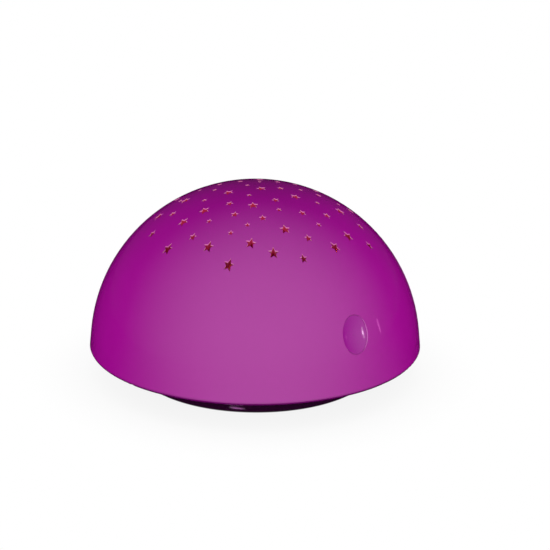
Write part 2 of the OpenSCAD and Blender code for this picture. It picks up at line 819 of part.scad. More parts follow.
// Cap dished by a large sphere, hollow behind, with a flange that stops behind the collar and a
// stem that reaches to the switch
module button_cap() {
    flange_z = cap_flange_top - cap_flange_t;
    color(purple) on_button_axis() difference() {
        union() {
            intersection() {
                translate([0, 0, cap_flange_top - past])
                    linear_extrude(height = dome_r) oval(button_w, button_h);
                sphere(r = dome_r);
            }
            translate([0, 0, flange_z]) linear_extrude(height = cap_flange_t)
                oval(button_w + 2 * cap_flange_w, button_h + 2 * cap_flange_w);
        }
        translate([0, 0, dome_r - dish_depth + dish_curve]) sphere(r = dish_curve);
        difference() {
            translate([0, 0, flange_z - past]) linear_extrude(height = cap_underside - flange_z + past)
                oval(button_w - 2 * cap_wall, button_h - 2 * cap_wall);
            translate([0, 0, flange_z - 2 * past]) cylinder(r = stem_r, h = dome_r);
        }
    }
    color(purple) on_button_axis() translate([0, 0, stem_end])
        cylinder(r = stem_r, h = cap_underside - stem_end + merge);
}

module button_spring() {
    color(steel) on_button_axis() translate([0, 0, switch_top + touch])
        coil(coil_r, coil_wire_r, cap_underside - switch_top - 2 * touch, coil_turns);
}

module switch_board() {
    color(board_green) on_button_axis() difference() {
        translate([-switch_board_size[0] / 2, -switch_board_size[1] / 2, switch_board_top - board_t])
            cube([switch_board_size[0], switch_board_size[1], board_t]);
        for (side = [-1, 1]) translate([side * switch_boss_x, 0, switch_board_top - board_t - past])
            cylinder(d = small_hole_d, h = board_t + 2 * past);
    }
}

module switch_board_screws() {
    color(steel) on_button_axis() for (side = [-1, 1])
        translate([side * switch_boss_x, 0, switch_board_top - board_t - touch])
            pan_screw(small_screw_d, small_screw_len - past, small_head_r, small_head_h);
}

module switch_housing() {
    color(black) on_button_axis() difference() {
        translate([-switch_size[0] / 2, -switch_size[1] / 2, switch_board_top + touch])
            cube([switch_size[0], switch_size[1], switch_size[2] - touch]);
        translate([0, 0, plunger_bottom - button_travel - fit])
            cylinder(r = plunger_r + plunger_gap, h = switch_size[2] + past);
    }
}

module switch_plunger() {
    color(white) on_button_axis() translate([0, 0, plunger_bottom])
        cylinder(r = plunger_r, h = plunger_top - plunger_bottom);
}

// Battery leads: from the two free contacts up through the roof to their header
battery_routes = [
    [[27.4, -19.2, 14.5], [27.1, -19.2, 17], [26.8, -19.2, 20], [26, -17.5, 24], [24.6, -12, 27.6],
        [21, -7, 29], [18.4, -4.6, 28.6], [17.9, -4, 26]],
    [[-27.4, 19.2, 14.5], [-27.1, 19.2, 17], [-26.8, 19.2, 20], [-25.5, 19, 24], [-22, 18.2, 26.2],
        [-13, 15.5, 25.6], [0, 14, 25.6], [9, 10, 26], [14.6, 2, 28], [16, -3.2, 28.7], [16.1, -4, 26]]
];
module battery_wires() {
    color(sleeve_red) for (route = battery_routes) wire(route);
}

// LED leads: from their header up through the deck's middle to the LED board
led_routes = [
    [[-1, 2, 26], [-1, 2, 28], [-0.9, 1, 30.5], [-0.9, 0, 33], [-0.9, 0, 35.4]],
    [[1, 2, 26], [1, 2, 28], [0.9, 1, 30.5], [0.9, 0, 33], [0.9, 0, 35.4]]
];
module led_wires() {
    color(sleeve_yellow) for (route = led_routes) wire(route);
}

// Switch leads: from their header under the deck's rim to the switch board's inner face
switch_routes = [
    [[5, -8, 26], [5, -8, 28], [6.4, -10.4, 29.2], [14, -22, 28], [21.4, -30.4, 26.2],
        [24.8, -34, 26.7], [27.8, -37.9, 28.4]],
    [[7, -8, 26], [7, -8, 28], [8.6, -9.8, 29.2], [17, -20.6, 28], [24, -28.8, 26.2],
        [26.8, -32.5, 26.7], [29.8, -36.4, 28.4]]
];
module switch_wires() {
    color(sleeve_black) for (route = switch_routes) wire(route);
}

dome_shell();
base_shell();
foot_pads();
housing_screws();
battery_door();
door_screw();
screw_insert();
battery_cells();
battery_springs();
battery_plates();
main_board();
board_screws();
control_chip();
capacitor();
wire_headers();
light_deck();
deck_screws();
led_board();
led_board_screws();
red_led();
green_led();
blue_led();
button_cap();
button_spring();
switch_board();
switch_board_screws();
switch_housing();
switch_plunger();
battery_wires();
led_wires();
switch_wires();
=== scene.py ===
import json
import math

import bpy
from mathutils import Matrix, Vector


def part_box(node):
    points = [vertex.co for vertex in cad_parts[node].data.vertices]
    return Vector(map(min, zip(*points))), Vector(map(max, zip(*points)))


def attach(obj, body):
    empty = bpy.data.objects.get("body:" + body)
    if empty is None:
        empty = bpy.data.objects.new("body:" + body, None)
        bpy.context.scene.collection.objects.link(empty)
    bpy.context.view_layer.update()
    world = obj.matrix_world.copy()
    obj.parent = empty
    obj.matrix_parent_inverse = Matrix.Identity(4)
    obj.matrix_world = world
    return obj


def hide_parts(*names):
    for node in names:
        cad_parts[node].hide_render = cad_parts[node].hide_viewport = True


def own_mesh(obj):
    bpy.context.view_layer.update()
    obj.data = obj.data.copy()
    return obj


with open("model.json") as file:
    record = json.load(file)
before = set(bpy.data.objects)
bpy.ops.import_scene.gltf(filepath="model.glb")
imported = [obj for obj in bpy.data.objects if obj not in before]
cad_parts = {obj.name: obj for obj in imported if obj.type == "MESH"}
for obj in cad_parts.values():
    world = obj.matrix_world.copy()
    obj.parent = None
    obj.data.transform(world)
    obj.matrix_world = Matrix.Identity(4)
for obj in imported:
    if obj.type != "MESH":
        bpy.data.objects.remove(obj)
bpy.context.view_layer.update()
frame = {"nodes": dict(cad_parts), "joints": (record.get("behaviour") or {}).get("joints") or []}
nodes = frame["nodes"]


# Camera
# It stands in front of the light and looks a little down on it, from six dome widths away, so the
# dome keeps a nearly round outline. The dome sits low and a little left in the frame.
FRAME_PX = 550
CENTRE_PX = (255.6, 342.7)
FOCAL_PX = 1965
SENSOR_MM = 36
CAMERA_RADII = 12
CAMERA_RISE = 20.7
CAMERA_ROLL = 0.38
DOME_RADIUS = 0.070
dome_centre = Vector((0, 0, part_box("dome_shell")[1].z - DOME_RADIUS))


def put(name, data):
    """Adds an object to the scene."""
    thing = bpy.data.objects.new(name, data)
    bpy.context.scene.collection.objects.link(thing)
    return thing


camera_data = bpy.data.cameras.new("camera")
camera_data.sensor_width = SENSOR_MM
camera_data.lens = SENSOR_MM * FOCAL_PX / FRAME_PX
camera = put("camera", camera_data)
bpy.context.scene.camera = camera
look_right = math.atan((FRAME_PX / 2 - CENTRE_PX[0]) / FOCAL_PX)
look_up = math.atan((CENTRE_PX[1] - FRAME_PX / 2) / FOCAL_PX)
camera.matrix_world = (
    Matrix.Translation(dome_centre)
    @ Matrix.Rotation(math.radians(90 - CAMERA_RISE), 4, "X")
    @ Matrix.Translation((0, 0, CAMERA_RADII * DOME_RADIUS))
    @ Matrix.Rotation(-look_right, 4, "Y")
    @ Matrix.Rotation(look_up, 4, "X")
    @ Matrix.Rotation(math.radians(CAMERA_ROLL), 4, "Z")
)
bpy.context.scene.view_settings.view_transform = "Standard"


# Studio
# A white floor and world, soft lamps all round, and a black hood that only reflections see. A thin
# strip gives the dome its streak, and a spot on the floor gives the foot its glint. Lamps below
# light the underside alone, through the floor, which doesn't show from there.
class Wire:
    """The output of a shader node. Sums and products written with it become Math nodes."""

    def __init__(self, shader, socket):
        self.shader = shader
        self.socket = socket

    def math(self, operation, *values):
        return self.shader.node("ShaderNodeMath", {"operation": operation}, dict(enumerate(values)))

    def __add__(self, other):
        return self.math("ADD", self, other)

    def __sub__(self, other):
        return self.math("SUBTRACT", self, other)

    def __rsub__(self, other):
        return self.math("SUBTRACT", other, self)

    def __mul__(self, other):
        return self.math("MULTIPLY", self, other)

    def __truediv__(self, other):
        return self.math("DIVIDE", self, other)

    def __mod__(self, other):
        return self.math("FLOORED_MODULO", self, other)

    def __gt__(self, other):
        return self.math("GREATER_THAN", self, other)

    def __lt__(self, other):
        return self.math("LESS_THAN", self, other)

    def __abs__(self):
        return self.math("ABSOLUTE", self)

    __radd__ = __add__
    __rmul__ = __mul__

    def within(self, low, high):
        """1 between low and high, and 0 outside them."""
        return (self > low) * (self < high)


class Shader:
    """The node tree of a finish, a floor or the world."""

    MIX_A = 6
    MIX_B = 7
    MIX_RESULT = 2

    def __init__(self, owner):
        owner.use_nodes = True
        self.tree = owner.node_tree
        self.tree.nodes.clear()

    def node(self, kind, settings={}, values={}, output=0):
        """A node with its settings made first, and then its sockets filled or wired."""
        made = self.tree.nodes.new(kind)
        for key, setting in settings.items():
            setattr(made, key, setting)
        for key, value in values.items():
            if isinstance(value, Wire):
                self.tree.links.new(value.socket, made.inputs[key])
            elif value is not None:
                made.inputs[key].default_value = value
        return Wire(self, made.outputs[output]) if made.outputs else None

    def vector_math(self, operation, *vectors, output=0):
        sockets = dict(enumerate(vectors))
        return self.node("ShaderNodeVectorMath", {"operation": operation}, sockets, output)

    def blend(self, factor, colour_a, colour_b):
        """colour_a where factor is 0, and colour_b where it is 1."""
        sockets = {0: factor}
        for key, colour in ((self.MIX_A, colour_a), (self.MIX_B, colour_b)):
            sockets[key] = (*colour, 1) if isinstance(colour, tuple) else colour
        return self.node("ShaderNodeMix", {"data_type": "RGBA"}, sockets, self.MIX_RESULT)

    def step(self, value, start, end):
        """0 below start and 1 past end, with a smooth rise between. start may be the larger."""
        return self.node(
            "ShaderNodeMapRange",
            {"interpolation_type": "SMOOTHSTEP"},
            {"Value": value, "From Min": start, "From Max": end},
        )

    def axis(self, vector, axis):
        """How far vector reaches along X, Y or Z, which are 0, 1 and 2."""
        return self.node("ShaderNodeSeparateXYZ", {}, {0: vector}, output=axis)

    def along(self, vector, direction):
        """How far vector reaches in direction."""
        return self.vector_math("DOT_PRODUCT", vector, tuple(direction), output="Value")

    def length(self, vector):
        return self.vector_math("LENGTH", vector, output="Value")

    def facing(self, direction):
        """1 where the surface faces direction, -1 where it faces away from it."""
        return self.along(self.node("ShaderNodeTexCoord", output="Normal"), direction)

    def place(self, middle=(0, 0, 0)):
        """Where a point is on its own piece, from middle."""
        spot = self.node("ShaderNodeTexCoord", output="Object")
        return self.vector_math("SUBTRACT", spot, tuple(middle))

    def noise(self, size, detail=2, stretch=(1, 1, 1)):
        """Soft blotches about size metres across, from 0 to 1."""
        spot = self.vector_math("MULTIPLY", self.place(), stretch)
        sockets = {"Vector": spot, "Scale": 1 / size, "Detail": detail}
        return self.node("ShaderNodeTexNoise", {}, sockets)

    def bump(self, height, depth, edge=None):
        """A relief depth metres deep as height goes from 0 to 1, on edges softened by edge."""
        soft = edge and self.node("ShaderNodeBevel", {"samples": 4}, {"Radius": edge})
        sockets = {"Height": height, "Strength": 1, "Distance": depth, "Normal": soft}
        return self.node("ShaderNodeBump", {}, sockets)


LAMP_DISTANCE = 1.3
STRIP_PINK = (1, 0.24, 0.78)
UNDER_LAMP_SIZE = (1.2, 1.2)
PLASTIC_BELOW = ("base_shell", "foot_pads", "battery_door")
METAL_BELOW = (
    "housing_screws", "door_screw", "screw_insert",
    "battery_cells", "battery_springs", "battery_plates",
)


def studio_lamp(name, azimuth, rise, size, radiance, mirrored=False, colour=(1, 1, 1)):
    """A soft rectangular lamp that faces the dome. mirrored says if it shows in reflections."""
    data = bpy.data.lights.new(name, "AREA")
    data.shape = "RECTANGLE"
    data.color = colour
    data.size, data.size_y = size
    data.energy = radiance * math.pi * size[0] * size[1]
    lamp = put(name, data)
    lamp.matrix_world = (
        Matrix.Translation(dome_centre)
        @ Matrix.Rotation(math.radians(azimuth), 4, "Z")
        @ Matrix.Rotation(math.radians(90 - rise), 4, "X")
        @ Matrix.Translation((0, 0, LAMP_DISTANCE))
    )
    lamp.visible_glossy = mirrored
    lamp.visible_camera = False
    return lamp


studio_lamp("front_lamp", azimuth=0, rise=13, size=(1.3, 0.9), radiance=1.45)
studio_lamp("left_lamp", azimuth=-78, rise=8, size=(1.0, 0.45), radiance=2.3)
studio_lamp("right_lamp", azimuth=78, rise=8, size=(1.0, 0.45), radiance=2.1)
studio_lamp("left_back_lamp", azimuth=-130, rise=3.5, size=(1.0, 0.16), radiance=17)
studio_lamp("right_back_lamp", azimuth=130, rise=3.5, size=(1.0, 0.16), radiance=16)
studio_lamp(
    "side_strip", azimuth=95.9, rise=6.4, size=(0.008, 0.15), radiance=8,
    mirrored=True, colour=STRIP_PINK,
)


def piece_group(name, pieces):
    """A collection of CAD pieces, for a lamp that lights or is blocked by nothing else."""
    group = bpy.data.collections.new(name)
    for piece in pieces:
        group.objects.link(nodes[piece])
    return group


all_pieces = piece_group("all_pieces", nodes)
for name, lit, radiance, mirrored in (
    ("under_lamp", PLASTIC_BELOW, 3.5, False),
    ("metal_lamp", METAL_BELOW, 2, True),
):
    lamp = studio_lamp(
        name, azimuth=0, rise=-90, size=UNDER_LAMP_SIZE, radiance=radiance, mirrored=mirrored
    )
    lamp.light_linking.receiver_collection = piece_group(name + "_pieces", lit)
    lamp.light_linking.blocker_collection = all_pieces

# The world lights the object from the side that the hood leaves open.
WORLD_FILL = 0.02
FRONT_FILL = 1.23
HOOD_CLOSED = -0.45
HOOD_OPEN = 1.3
HOOD_LEAN = (0.1, -1, 0.5)

world = bpy.data.worlds.new("studio")
bpy.context.scene.world = world
sky = Shader(world)
seen = sky.node("ShaderNodeLightPath", output="Is Camera Ray")
seen += sky.node("ShaderNodeLightPath", output="Is Glossy Ray")
seen += sky.node("ShaderNodeLightPath", output="Is Transmission Ray")
toward_front = sky.along(sky.node("ShaderNodeTexCoord", output="Generated"), HOOD_LEAN)
fill = WORLD_FILL + FRONT_FILL * sky.step(toward_front, HOOD_CLOSED, HOOD_OPEN)
level = fill + (1 - fill) * (seen > 0.5)
background = sky.node("ShaderNodeBackground", {}, {"Color": (1, 1, 1, 1), "Strength": level})
sky.node("ShaderNodeOutputWorld", {}, {"Surface": background})

# The floor is white to look at, with a faint shadow round the rim and a dark one under the foot.
# In reflections it darkens towards the back as the hood does, and it bounces plain light.
FLOOR_WIDTH = 6
FLOOR_GAP = 0.0001
FLOOR_BOUNCE = (0.9, 0.9, 0.9, 1)
SHADOW_REACH = 0.03
SHADOW_DEPTH = 0.12
FOOT_SHADE = (0.0494, 0.0487)
FOOT_SHADE_DEPTH = 0.98
RIM_SHADE = (0.075, 0.112)
MIRROR_MIDDLE = (0, -0.05, 0)
GLINT = (-0.0085, -0.0561, 0)
GLINT_STRETCH = (1, 4.5, 1)
GLINT_EDGE = (0.0046, 0.0028)
GLINT_COLOUR = (1, 0.3, 0.95)
GLINT_LEVEL = 6

half = FLOOR_WIDTH / 2
corners = [(x * half, y * half, -FLOOR_GAP) for x, y in ((-1, -1), (1, -1), (1, 1), (-1, 1))]
floor_mesh = bpy.data.meshes.new("floor")
floor_mesh.from_pydata(corners, [], [(0, 1, 2, 3)])
floor = put("floor", floor_mesh)
floor_finish = bpy.data.materials.new("floor_white")
paint = Shader(floor_finish)
seen_floor = paint.node("ShaderNodeLightPath", output="Is Camera Ray")
mirrored_floor = paint.node("ShaderNodeLightPath", output="Is Glossy Ray")
open_sky = paint.node(
    "ShaderNodeAmbientOcclusion", {"samples": 8}, {"Distance": SHADOW_REACH}, output="AO"
)
from_middle = paint.length(paint.place())
under_foot = paint.step(from_middle, *FOOT_SHADE)
seen_level = (1 - SHADOW_DEPTH * (1 - open_sky)) * (1 - FOOT_SHADE_DEPTH * under_foot)
mirror_spot = paint.place(MIRROR_MIDDLE)
toward_front = paint.along(mirror_spot, HOOD_LEAN) / paint.length(mirror_spot)
mirrored_level = paint.step(toward_front, HOOD_CLOSED, HOOD_OPEN)
mirrored_level *= paint.step(from_middle, *RIM_SHADE)
glint_spot = paint.vector_math("MULTIPLY", paint.place(GLINT), GLINT_STRETCH)
glint = mirrored_floor * paint.step(paint.length(glint_spot), *GLINT_EDGE)
level = seen_floor * seen_level + mirrored_floor * mirrored_level + GLINT_LEVEL * glint
glow_colour = paint.blend(glint, (1, 1, 1), GLINT_COLOUR)
glow = paint.node("ShaderNodeEmission", {}, {"Color": glow_colour, "Strength": level})
matt = paint.node("ShaderNodeBsdfDiffuse", {}, {"Color": FLOOR_BOUNCE})
bright = (seen_floor + mirrored_floor) > 0.5
white = paint.node("ShaderNodeMixShader", {}, {0: bright, 1: matt, 2: glow})
from_below = seen_floor * paint.node("ShaderNodeNewGeometry", output="Backfacing")
clear = paint.node("ShaderNodeBsdfTransparent")
one_sided = paint.node("ShaderNodeMixShader", {}, {0: from_below, 1: white, 2: clear})
paint.node("ShaderNodeOutputMaterial", {}, {"Surface": one_sided})
floor.data.materials.append(floor_finish)

# The hood closes round the back and opens softly towards the front, where the white world shows.
HOOD_RADIUS = 3.2
HOOD_LEVEL = 0.013

bpy.ops.mesh.primitive_uv_sphere_add(
    segments=64, ring_count=32, radius=HOOD_RADIUS, location=dome_centre
)
hood = bpy.context.object
hood.name = "black_hood"
hood.visible_camera = False
hood.visible_diffuse = False
hood.visible_shadow = False
hood.visible_transmission = False
hood_finish = bpy.data.materials.new("hood_black")
cloth = Shader(hood_finish)
toward_front = cloth.along(cloth.place(), HOOD_LEAN) / HOOD_RADIUS
opening = cloth.step(toward_front, HOOD_CLOSED, HOOD_OPEN)
black = cloth.node("ShaderNodeEmission", {}, {"Color": (1, 1, 1, 1), "Strength": HOOD_LEVEL})
clear = cloth.node("ShaderNodeBsdfTransparent")
drape = cloth.node("ShaderNodeMixShader", {}, {0: opening, 1: black, 2: clear})
cloth.node("ShaderNodeOutputMaterial", {}, {"Surface": drape})
hood.data.materials.append(hood_finish)


# Dome
# One glossy purple moulding with a rounded rim and 84 star holes, whose walls run straight up the
# way the mould opens. Painted glow stands in for the lamp inside: dark red on the walls and pink on
# their outer edges. The walls' own colour is painted shade, as is the rim's lowest band, and the
# wall of the button's opening carries a painted highlight.
PURPLE = (0.335, 0.0036, 0.262)
PURPLE_SHADE = (0.315, 0.0034, 0.246)
EDGE_SOFT = 0.0003
STAR_ZONE = 0.036
STAR_RISE = (0.048, 0.062)
STAR_WALL_REACH = 0.06992
EDGE_DEPTH = (0.0695, 0.0698)
# Painted glow in place of the lamp inside: pink on the holes' outer edges, red deeper in.
EDGE_GLOW_PINK = (0.5, 0.2, 0.28)
LOW_STAR_GLOW = 0.5
# Painted shade: the dark colour of the star walls and the inside, under their glow.
STAR_WALL_PAINTED_SHADE = (0.02, 0.001, 0.006)
# Painted red glow on the star walls and the dome's inside.
LOW_WALL_GLOW_RED = (0.1, 0.002, 0.01)
HIGH_WALL_GLOW_RED = (0.3, 0.012, 0.04)
INNER_GLOW_RED = (0.09, 0.002, 0.009)
INNER_REACH = (0.0682, 0.0680)
INNER_RISE = (0.012, 0.03)
# Painted shade along the rim's lowest band.
RIM_PAINTED_SHADE = (0.09, 0.0025, 0.08)
PAINTED_RIM_TURN = (0.0022, 0.0004)
# Painted highlight on the wall of the button's opening.
OPENING_PAINTED_HIGHLIGHT = (0.8, 0.2, 0.7)
OPENING_HIGHLIGHT_TURN = (0.8, 0.5)
OPENING_HIGHLIGHT_REACH = 0.012
BUTTON_AZIMUTH = 37.5
BUTTON_RISE = 19.6
BUTTON_ROLL = -10
rim_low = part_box("dome_shell")[0].z - dome_centre.z
painted_rim_band = [rim_low + reach for reach in PAINTED_RIM_TURN]
button_frame = (
    Matrix.Rotation(math.radians(BUTTON_AZIMUTH), 3, "Z")
    @ Matrix.Rotation(math.radians(90 - BUTTON_RISE), 3, "X")
    @ Matrix.Rotation(math.radians(BUTTON_ROLL), 3, "Z")
)
button_right, button_up, button_out = (button_frame.col[i].copy() for i in range(3))


def shade(name, build):
    """A finish whose Principled values are worked out by build(shader)."""
    material = bpy.data.materials.new(name)
    shader = Shader(material)
    surface = shader.node("ShaderNodeBsdfPrincipled", {}, build(shader))
    shader.node("ShaderNodeOutputMaterial", {}, {"Surface": surface})
    return material


def dress(material, name):
    """Gives a CAD piece its finish."""
    finishes = nodes[name].data.materials
    finishes.clear()
    finishes.append(material)


def purple_plastic(shader, tone=PURPLE, tone_shade=PURPLE_SHADE, roughness=0.03, index=1.7):
    cloud = shader.noise(0.03, detail=3)
    return {
        "Base Color": shader.blend(cloud, tone, tone_shade),
        "Roughness": roughness + 0.03 * cloud,
        "IOR": index,
        "Normal": shader.bump(shader.noise(0.0006), 0.0000015, EDGE_SOFT),
    }


def dome_plastic(shader):
    """The plastic, with painted glow and painted shade in the stars, painted shade on the rim's
    lowest band and a painted highlight round the button's opening.
    """
    values = purple_plastic(shader)
    spot = shader.place(dome_centre)
    out = shader.length(spot)
    height = shader.axis(spot, 2)
    wall = (out < STAR_WALL_REACH) * (height > STAR_ZONE)
    rise = shader.step(height, *STAR_RISE)
    # Painted glow: pink at the holes' outer edges, red deeper in and on the dome's inside.
    edge = shader.step(out, *EDGE_DEPTH)
    pink = edge * (LOW_STAR_GLOW + (1 - LOW_STAR_GLOW) * rise)
    red = shader.blend((1 - edge) * rise, LOW_WALL_GLOW_RED, HIGH_WALL_GLOW_RED)
    wall_glow = shader.blend(wall, (0, 0, 0), shader.blend(pink, red, EDGE_GLOW_PINK))
    inner = shader.step(out, *INNER_REACH) * shader.step(height, *INNER_RISE)
    values["Emission Color"] = shader.blend(inner, wall_glow, INNER_GLOW_RED)
    values["Emission Strength"] = 1
    # Painted highlight on the wall of the button's opening, which faces the button's axis.
    from_button = shader.length(shader.place(dome_centre + button_out * DOME_RADIUS))
    opening = shader.step(shader.facing(button_out), *OPENING_HIGHLIGHT_TURN) * (from_button < OPENING_HIGHLIGHT_REACH)
    # Painted shade on the rim's lowest band, then the opening's painted highlight.
    purple = shader.blend(shader.step(height, *painted_rim_band), values["Base Color"], RIM_PAINTED_SHADE)
    purple = shader.blend(opening, purple, OPENING_PAINTED_HIGHLIGHT)
    # Painted shade on the star walls and the inside, below the holes' outer edges.
    values["Base Color"] = shader.blend(wall * (1 - edge), purple, STAR_WALL_PAINTED_SHADE)
    return values


dress(shade("dome_purple", dome_plastic), "dome_shell")


# Push button
# A dished oval cap of the same plastic, with its own flange and stem behind the dome. Its purple is
# a darker, bluer copy of the dome's, which paints shade on the cap. Two narrow lamps that light
# nothing else put the bright streak in its dish.
# Painted shade: a darker copy of the dome's purple.
BUTTON_PAINTED_SHADE_PURPLE = (0.285, 0.0032, 0.24)
BUTTON_SHADE = (0.265, 0.003, 0.225)
BUTTON_LIGHT = (1, 0.72, 1)


def button_plastic(shader):
    return purple_plastic(shader, BUTTON_PAINTED_SHADE_PURPLE, BUTTON_SHADE, roughness=0.07, index=1.6)


dress(shade("button_purple", button_plastic), "button_cap")

button_only = piece_group("button_only", ["button_cap"])
for name, size, radiance in (("button_glint", (0.06, 0.2), 18), ("button_streak", (0.05, 0.55), 5)):
    lamp = studio_lamp(
        name, azimuth=47.5, rise=15.4, size=size, radiance=radiance,
        mirrored=True, colour=BUTTON_LIGHT,
    )
    lamp.light_linking.receiver_collection = button_only


# Button spring
# Wound from drawn spring steel. It stands on the switch and pushes the button out. The real one
# gets shorter as the button goes in; this copy keeps its full length.
STEEL = (0.56, 0.57, 0.59)
STEEL_DULL = (0.4, 0.4, 0.42)


def plated(bright, dull, roughness, blotch, stretch=(1, 1, 1)):
    """Plated or drawn metal, with dull blotches about blotch metres across."""

    def build(shader):
        cloud = shader.noise(blotch, detail=4, stretch=stretch)
        return {
            "Base Color": shader.blend(cloud, bright, dull),
            "Metallic": 1,
            "Roughness": roughness + 0.2 * cloud,
            "Normal": shader.bump(cloud, 0.000004),
        }

    return build


drawn_steel = plated(STEEL, STEEL_DULL, roughness=0.18, blotch=0.0012)
dress(shade("spring_steel", drawn_steel), "button_spring")

coil = put("button_spring_coil", nodes["button_spring"].data.copy())
coil_reach = [button_out.dot(corner.co) for corner in coil.data.vertices]
coil_length = max(coil_reach) - min(coil_reach)
press = next(joint for joint in frame["joints"] if joint["name"] == "button_press")
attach(coil, "root")
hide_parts("button_spring")
1 - press["range_m"][1] / coil_length
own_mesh(coil)


# Push switch
# A black moulded body under a steel cover plate, and a white plunger that the button's stem
# presses. SWITCH_COVER is how far out along the button's axis the cover starts.
SWITCH_COVER = 0.0564
BLACK = (0.012, 0.012, 0.014)
BLACK_WORN = (0.03, 0.03, 0.033)
IVORY = (0.72, 0.7, 0.63)
IVORY_SHADE = (0.6, 0.57, 0.49)


def switch_body(shader):
    cover = shader.along(shader.place(dome_centre), button_out) > SWITCH_COVER
    cloud = shader.noise(0.001, detail=3)
    return {
        "Base Color": shader.blend(cover, shader.blend(cloud, BLACK, BLACK_WORN), STEEL),
        "Metallic": cover,
        "Roughness": 0.45 - 0.15 * cover + 0.1 * cloud,
        "Normal": shader.bump(cloud, 0.000006),
    }


def moulded(colour, shadow, roughness, blotch=0.004, grain=0.0002):
    """Moulded plastic or rubber: soft blotches of two tones and a fine mould grain."""

    def build(shader):
        cloud = shader.noise(blotch, detail=3)
        return {
            "Base Color": shader.blend(cloud, colour, shadow),
            "Roughness": roughness + 0.12 * cloud,
            "Normal": shader.bump(shader.noise(grain, detail=3), 0.000006),
        }

    return build


dress(shade("switch_black", switch_body), "switch_housing")
dress(shade("plunger_white", moulded(IVORY, IVORY_SHADE, roughness=0.35)), "switch_plunger")


# Switch board and its screws
# A strip of green board behind the switch, with tinned solder joints. Two zinc plated screws hold
# it to the dome's bosses.
MASK_GREEN = (0.008, 0.09, 0.035)
TRACK_GREEN = (0.02, 0.16, 0.06)
LAMINATE = (0.3, 0.29, 0.14)
TIN = (0.7, 0.69, 0.66)
ZINC = (0.62, 0.64, 0.67)
ZINC_DULL = (0.42, 0.44, 0.48)
TRACK_PITCH = 0.0013
TRACK_WIDTH = 0.0005
ACROSS = (1, 0, 0)
AWAY = (0, 1, 0)
UP = (0, 0, 1)
NO_HOLE = -1
SCREW_HOLE = 0.0013
SWITCH_THREAD = 0.0499


def pads(spots, inner, outer):
    """Tinned rings round screws, or solder joints where inner is NO_HOLE."""
    return [(x, y, inner, outer) for x, y in spots]


def four_corners(x, y):
    return [(side * x, end * y) for side in (-1, 1) for end in (-1, 1)]


def circuit_board(mask, tracks, tinned_pads, across=ACROSS, away=AWAY, out=UP, middle=(0, 0, 0)):
    """Solder mask over copper tracks, with tinned pads, and bare laminate at the edges."""

    def build(shader):
        spot = shader.place(middle)
        x, y = shader.along(spot, across), shader.along(spot, away)
        rows = shader.noise(0.007, detail=0) > 0.5
        lines = rows * ((x % TRACK_PITCH) < TRACK_WIDTH)
        lines += (1 - rows) * ((y % TRACK_PITCH) < TRACK_WIDTH)
        lines *= shader.noise(0.004, detail=1) > 0.42
        tinned = 0
        for place_x, place_y, inner, outer in tinned_pads:
            gap = shader.node("ShaderNodeCombineXYZ", {}, {0: x - place_x, 1: y - place_y})
            tinned += shader.length(gap).within(inner, outer)
        tinned = tinned > 0.5
        face = abs(shader.facing(out)) > 0.5
        colour = shader.blend(tinned, shader.blend(lines, mask, tracks), TIN)
        cloud = shader.noise(0.0008, detail=3)
        metal = tinned * face
        return {
            "Base Color": shader.blend(face, LAMINATE, colour),
            "Metallic": metal,
            "Roughness": 0.32 + 0.3 * (1 - face) + 0.15 * cloud - 0.08 * metal,
            "Normal": shader.bump(lines + 2 * tinned + 0.3 * cloud, 0.00002),
        }

    return build


def threaded(direction, start, pitch, middle=(0, 0, 0)):
    """Zinc plate with dull blotches, and a rolled thread from start on along direction."""

    def build(shader):
        along = shader.along(shader.place(middle), direction)
        turns = abs((along % pitch) * (2 / pitch) - 1) * (along > start)
        cloud = shader.noise(0.0015, detail=4)
        return {
            "Base Color": shader.blend(cloud, ZINC, ZINC_DULL),
            "Metallic": 1,
            "Roughness": 0.22 + 0.25 * cloud,
            "Normal": shader.bump(turns + 0.04 * cloud, 0.00015),
        }

    return build


switch_pads = pads(four_corners(0.0032, 0.0022), inner=NO_HOLE, outer=0.0007)
switch_pads += pads([(-0.0126, 0), (0.0126, 0)], inner=SCREW_HOLE, outer=0.0026)
switch_mask = circuit_board(
    MASK_GREEN, TRACK_GREEN, switch_pads, button_right, button_up, button_out, dome_centre
)
switch_screws = threaded(button_out, SWITCH_THREAD, pitch=0.0008, middle=dome_centre)
dress(shade("switch_board_green", switch_mask), "switch_board")
dress(shade("switch_screw_zinc", switch_screws), "switch_board_screws")


# Foot
# The base is moulded in a very dark plum. Its flank is as glossy as the dome, and its underside
# and the battery door's have a fine spark texture that hides scratches. Their lighter colour there
# is a painted sheen for the texture's scattered reflection.
PLUM = (0.022, 0.0018, 0.02)
PLUM_SHADE = (0.0176, 0.0014, 0.016)
# Painted sheen: a lighter plum on faces that look down.
PLUM_PAINTED_SHEEN = (0.05, 0.028, 0.046)
DOWN = (0, 0, -1)
UNDERSIDE_TURN = (0.7, 0.95)


def plum_plastic(shader):
    cloud = shader.noise(0.02, detail=3)
    under = shader.step(shader.facing(DOWN), *UNDERSIDE_TURN)
    spark = shader.noise(0.0003, detail=4) * (0.06 + under)
    return {
        # Painted sheen on the underside, over its real spark bump and rougher finish.
        "Base Color": shader.blend(under, shader.blend(cloud, PLUM, PLUM_SHADE), PLUM_PAINTED_SHEEN),
        "Roughness": 0.12 + 0.06 * cloud + 0.26 * under,
        "IOR": 1.55,
        "Normal": shader.bump(spark, 0.00003),
    }


plum_finish = shade("plum_gloss", plum_plastic)
dress(plum_finish, "base_shell")


# Rubber pads
# Four black rubber discs pressed into the foot's underside. They are matt, with a little dust on
# them in blotches.
RUBBER = (0.016, 0.016, 0.017)
RUBBER_DUSTY = (0.034, 0.033, 0.032)
rubber = moulded(RUBBER, RUBBER_DUSTY, roughness=0.72, blotch=0.003)
dress(shade("rubber_black", rubber), "foot_pads")


